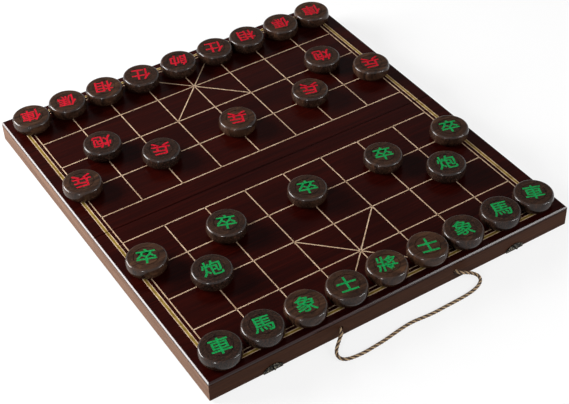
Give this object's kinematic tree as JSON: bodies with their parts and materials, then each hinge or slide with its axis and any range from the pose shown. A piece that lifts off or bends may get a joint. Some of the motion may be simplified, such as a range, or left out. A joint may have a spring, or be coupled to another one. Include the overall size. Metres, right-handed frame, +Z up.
{
  "type": "xiangqi chinese chess box",
  "caption": "Folding wooden game box, open flat as a xiangqi board with the men set out, hasps and a rope handle.",
  "frame": {"origin": "middle of the hinge line, on the surface that the open box stands on", "axes": "+X right along the front edge, +Y from the front (rope handle) to the back, +Z up"},
  "size_m": [0.4, 0.4761, 0.0381],
  "materials": {
    "frame_wood": "satin lacquered",
    "panel_lacquer": "lacquered dark red",
    "green_men_wood": "waxed dark wood",
    "red_men_wood": "waxed dark wood",
    "antique_brass": "aged",
    "hinge_brass": "satin",
    "rope": "twisted cord"
  },
  "bodies": {
    "near_half": {"catch_hooks": "antique_brass", "catch_nails": "antique_brass", "catch_plate_left": "antique_brass", "catch_plate_right": "antique_brass", "near_front_rail": "frame_wood", "near_hinge_leaves": "hinge_brass", "near_hinge_nails": "hinge_brass", "near_left_rail": "frame_wood", "near_playing_panel": "panel_lacquer", "near_right_rail": "frame_wood", "near_spine_rail": "frame_wood", "rope_handle": "rope", "rope_knot_left": "rope", "rope_knot_right": "rope", "hinge_pins": "hinge_brass"},
    "far_half": {"far_back_rail": "frame_wood", "far_hinge_leaves": "hinge_brass", "far_hinge_nails": "hinge_brass", "far_left_rail": "frame_wood", "far_playing_panel": "panel_lacquer", "far_right_rail": "frame_wood", "far_spine_rail": "frame_wood", "hasp_nails": "antique_brass", "hasp_pins": "antique_brass", "hasp_plate_left": "antique_brass", "hasp_plate_right": "antique_brass"},
    "clasp_flap_left": {"hasp_flap_left": "antique_brass"},
    "clasp_flap_right": {"hasp_flap_right": "antique_brass"},
    "man_green_adviser_left": {"man_green_adviser_left": "green_men_wood"},
    "man_green_adviser_right": {"man_green_adviser_right": "green_men_wood"},
    "man_green_cannon_left": {"man_green_cannon_left": "green_men_wood"},
    "man_green_cannon_right": {"man_green_cannon_right": "green_men_wood"},
    "man_green_chariot_left": {"man_green_chariot_left": "green_men_wood"},
    "man_green_chariot_right": {"man_green_chariot_right": "green_men_wood"},
    "man_green_elephant_left": {"man_green_elephant_left": "green_men_wood"},
    "man_green_elephant_right": {"man_green_elephant_right": "green_men_wood"},
    "man_green_general": {"man_green_general": "green_men_wood"},
    "man_green_horse_left": {"man_green_horse_left": "green_men_wood"},
    "man_green_horse_right": {"man_green_horse_right": "green_men_wood"},
    "man_green_soldier_1": {"man_green_soldier_1": "green_men_wood"},
    "man_green_soldier_2": {"man_green_soldier_2": "green_men_wood"},
    "man_green_soldier_3": {"man_green_soldier_3": "green_men_wood"},
    "man_green_soldier_4": {"man_green_soldier_4": "green_men_wood"},
    "man_green_soldier_5": {"man_green_soldier_5": "green_men_wood"},
    "man_red_adviser_left": {"man_red_adviser_left": "red_men_wood"},
    "man_red_adviser_right": {"man_red_adviser_right": "red_men_wood"},
    "man_red_cannon_left": {"man_red_cannon_left": "red_men_wood"},
    "man_red_cannon_right": {"man_red_cannon_right": "red_men_wood"},
    "man_red_chariot_left": {"man_red_chariot_left": "red_men_wood"},
    "man_red_chariot_right": {"man_red_chariot_right": "red_men_wood"},
    "man_red_elephant_left": {"man_red_elephant_left": "red_men_wood"},
    "man_red_elephant_right": {"man_red_elephant_right": "red_men_wood"},
    "man_red_general": {"man_red_general": "red_men_wood"},
    "man_red_horse_left": {"man_red_horse_left": "red_men_wood"},
    "man_red_horse_right": {"man_red_horse_right": "red_men_wood"},
    "man_red_soldier_1": {"man_red_soldier_1": "red_men_wood"},
    "man_red_soldier_2": {"man_red_soldier_2": "red_men_wood"},
    "man_red_soldier_3": {"man_red_soldier_3": "red_men_wood"},
    "man_red_soldier_4": {"man_red_soldier_4": "red_men_wood"},
    "man_red_soldier_5": {"man_red_soldier_5": "red_men_wood"}
  },
  "joints": [
    {"name": "board_fold", "type": "hinge", "parent": "near_half", "child": "far_half", "pos_m": [0, 0, 0.001], "axis": [-1, 0, 0], "range_deg": [0, 180]},
    {"name": "clasp_flap_left", "type": "hinge", "parent": "far_half", "child": "clasp_flap_left", "pos_m": [-0.136, 0.2193, 0.0025], "axis": [1, 0, 0], "range_deg": [-77, 100]},
    {"name": "clasp_flap_right", "type": "hinge", "parent": "far_half", "child": "clasp_flap_right", "pos_m": [0.136, 0.2193, 0.0025], "axis": [1, 0, 0], "range_deg": [-77, 100]},
    {"name": "man_green_adviser_left_lift", "type": "slide", "parent": "near_half", "child": "man_green_adviser_left", "axis": [0, 0, 1], "range_m": [0, 0.03]},
    {"name": "man_green_adviser_right_lift", "type": "slide", "parent": "near_half", "child": "man_green_adviser_right", "axis": [0, 0, 1], "range_m": [0, 0.03]},
    {"name": "man_green_cannon_left_lift", "type": "slide", "parent": "near_half", "child": "man_green_cannon_left", "axis": [0, 0, 1], "range_m": [0, 0.03]},
    {"name": "man_green_cannon_right_lift", "type": "slide", "parent": "near_half", "child": "man_green_cannon_right", "axis": [0, 0, 1], "range_m": [0, 0.03]},
    {"name": "man_green_chariot_left_lift", "type": "slide", "parent": "near_half", "child": "man_green_chariot_left", "axis": [0, 0, 1], "range_m": [0, 0.03]},
    {"name": "man_green_chariot_right_lift", "type": "slide", "parent": "near_half", "child": "man_green_chariot_right", "axis": [0, 0, 1], "range_m": [0, 0.03]},
    {"name": "man_green_elephant_left_lift", "type": "slide", "parent": "near_half", "child": "man_green_elephant_left", "axis": [0, 0, 1], "range_m": [0, 0.03]},
    {"name": "man_green_elephant_right_lift", "type": "slide", "parent": "near_half", "child": "man_green_elephant_right", "axis": [0, 0, 1], "range_m": [0, 0.03]},
    {"name": "man_green_general_lift", "type": "slide", "parent": "near_half", "child": "man_green_general", "axis": [0, 0, 1], "range_m": [0, 0.03]},
    {"name": "man_green_horse_left_lift", "type": "slide", "parent": "near_half", "child": "man_green_horse_left", "axis": [0, 0, 1], "range_m": [0, 0.03]},
    {"name": "man_green_horse_right_lift", "type": "slide", "parent": "near_half", "child": "man_green_horse_right", "axis": [0, 0, 1], "range_m": [0, 0.03]},
    {"name": "man_green_soldier_1_lift", "type": "slide", "parent": "near_half", "child": "man_green_soldier_1", "axis": [0, 0, 1], "range_m": [0, 0.03]},
    {"name": "man_green_soldier_2_lift", "type": "slide", "parent": "near_half", "child": "man_green_soldier_2", "axis": [0, 0, 1], "range_m": [0, 0.03]},
    {"name": "man_green_soldier_3_lift", "type": "slide", "parent": "near_half", "child": "man_green_soldier_3", "axis": [0, 0, 1], "range_m": [0, 0.03]},
    {"name": "man_green_soldier_4_lift", "type": "slide", "parent": "near_half", "child": "man_green_soldier_4", "axis": [0, 0, 1], "range_m": [0, 0.03]},
    {"name": "man_green_soldier_5_lift", "type": "slide", "parent": "near_half", "child": "man_green_soldier_5", "axis": [0, 0, 1], "range_m": [0, 0.03]},
    {"name": "man_red_adviser_left_lift", "type": "slide", "parent": "far_half", "child": "man_red_adviser_left", "axis": [0, 0, 1], "range_m": [0, 0.03]},
    {"name": "man_red_adviser_right_lift", "type": "slide", "parent": "far_half", "child": "man_red_adviser_right", "axis": [0, 0, 1], "range_m": [0, 0.03]},
    {"name": "man_red_cannon_left_lift", "type": "slide", "parent": "far_half", "child": "man_red_cannon_left", "axis": [0, 0, 1], "range_m": [0, 0.03]},
    {"name": "man_red_cannon_right_lift", "type": "slide", "parent": "far_half", "child": "man_red_cannon_right", "axis": [0, 0, 1], "range_m": [0, 0.03]},
    {"name": "man_red_chariot_left_lift", "type": "slide", "parent": "far_half", "child": "man_red_chariot_left", "axis": [0, 0, 1], "range_m": [0, 0.03]},
    {"name": "man_red_chariot_right_lift", "type": "slide", "parent": "far_half", "child": "man_red_chariot_right", "axis": [0, 0, 1], "range_m": [0, 0.03]},
    {"name": "man_red_elephant_left_lift", "type": "slide", "parent": "far_half", "child": "man_red_elephant_left", "axis": [0, 0, 1], "range_m": [0, 0.03]},
    {"name": "man_red_elephant_right_lift", "type": "slide", "parent": "far_half", "child": "man_red_elephant_right", "axis": [0, 0, 1], "range_m": [0, 0.03]},
    {"name": "man_red_general_lift", "type": "slide", "parent": "far_half", "child": "man_red_general", "axis": [0, 0, 1], "range_m": [0, 0.03]},
    {"name": "man_red_horse_left_lift", "type": "slide", "parent": "far_half", "child": "man_red_horse_left", "axis": [0, 0, 1], "range_m": [0, 0.03]},
    {"name": "man_red_horse_right_lift", "type": "slide", "parent": "far_half", "child": "man_red_horse_right", "axis": [0, 0, 1], "range_m": [0, 0.03]},
    {"name": "man_red_soldier_1_lift", "type": "slide", "parent": "far_half", "child": "man_red_soldier_1", "axis": [0, 0, 1], "range_m": [0, 0.03]},
    {"name": "man_red_soldier_2_lift", "type": "slide", "parent": "far_half", "child": "man_red_soldier_2", "axis": [0, 0, 1], "range_m": [0, 0.03]},
    {"name": "man_red_soldier_3_lift", "type": "slide", "parent": "far_half", "child": "man_red_soldier_3", "axis": [0, 0, 1], "range_m": [0, 0.03]},
    {"name": "man_red_soldier_4_lift", "type": "slide", "parent": "far_half", "child": "man_red_soldier_4", "axis": [0, 0, 1], "range_m": [0, 0.03]},
    {"name": "man_red_soldier_5_lift", "type": "slide", "parent": "far_half", "child": "man_red_soldier_5", "axis": [0, 0, 1], "range_m": [0, 0.03]}
  ]
}
